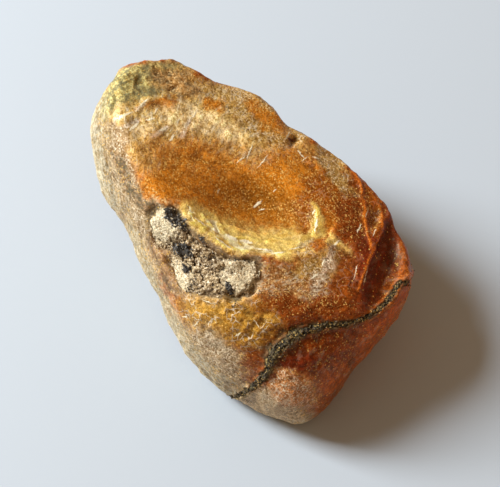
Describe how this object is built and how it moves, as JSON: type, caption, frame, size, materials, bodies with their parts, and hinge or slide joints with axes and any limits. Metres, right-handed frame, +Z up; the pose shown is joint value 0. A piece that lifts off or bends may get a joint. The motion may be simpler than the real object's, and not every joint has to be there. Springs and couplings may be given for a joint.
{
  "type": "raw amber piece",
  "caption": "Raw amber nodule with a broken, bowl-shaped face, a dark seam along one end and sandy clay stuck in a hollow.",
  "frame": {"origin": "on the ground under the middle of the piece's bounding box, at the level of its flat resting face", "axes": "+X along the length, from the mottled crest towards the lobe beyond the dark seam; +Z up; +Y to the side away from the clay"},
  "size_m": [0.0662, 0.0436, 0.0397],
  "materials": {
    "amber": "translucent golden to orange-brown resin, glassy on fresh breaks and dull on the weathered skin",
    "clay": "dry, grainy sandy clay with black lignite specks",
    "residue": "dull, crumbly dark brown to black residue"
  },
  "bodies": {
    "root": {"amber_nodule": "amber", "clay_crust": "clay", "seam_filling": "residue"}
  },
  "joints": []
}
